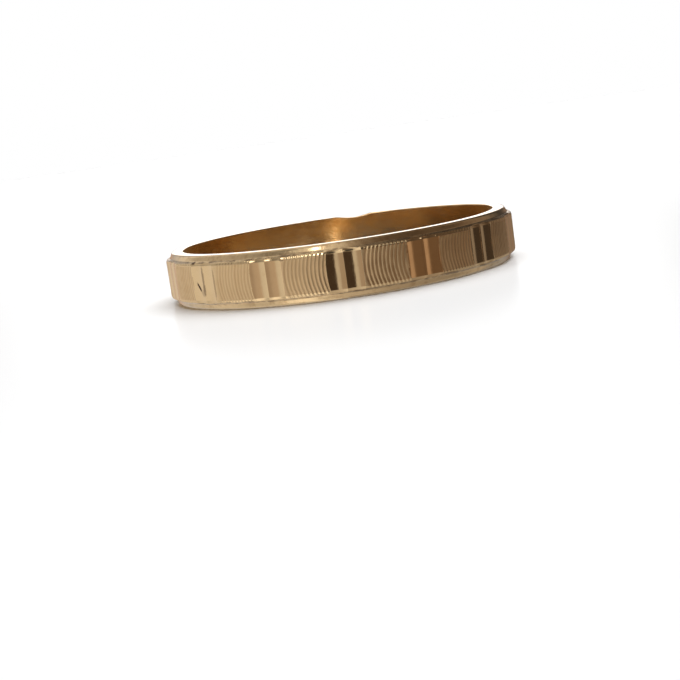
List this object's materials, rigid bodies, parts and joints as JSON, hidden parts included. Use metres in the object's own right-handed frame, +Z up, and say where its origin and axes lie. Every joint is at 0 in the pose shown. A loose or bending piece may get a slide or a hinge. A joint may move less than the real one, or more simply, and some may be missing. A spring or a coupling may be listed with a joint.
{
  "type": "finger ring",
  "caption": "Plain round finger band with stepped edges and a raised middle cut with pairs of flutes and rows of fine engraved arcs.",
  "frame": {"origin": "centre of the lower end face, on the ring's axis, where the ring rests", "axes": "+Z up along the ring's axis; -Y is the front, 0.6 degrees from the middle of a pair of flutes; +X to the right of the front"},
  "size_m": [0.0206, 0.0206, 0.003],
  "materials": {
    "gold": null
  },
  "bodies": {
    "root": {"ring_band": "gold"}
  },
  "joints": []
}
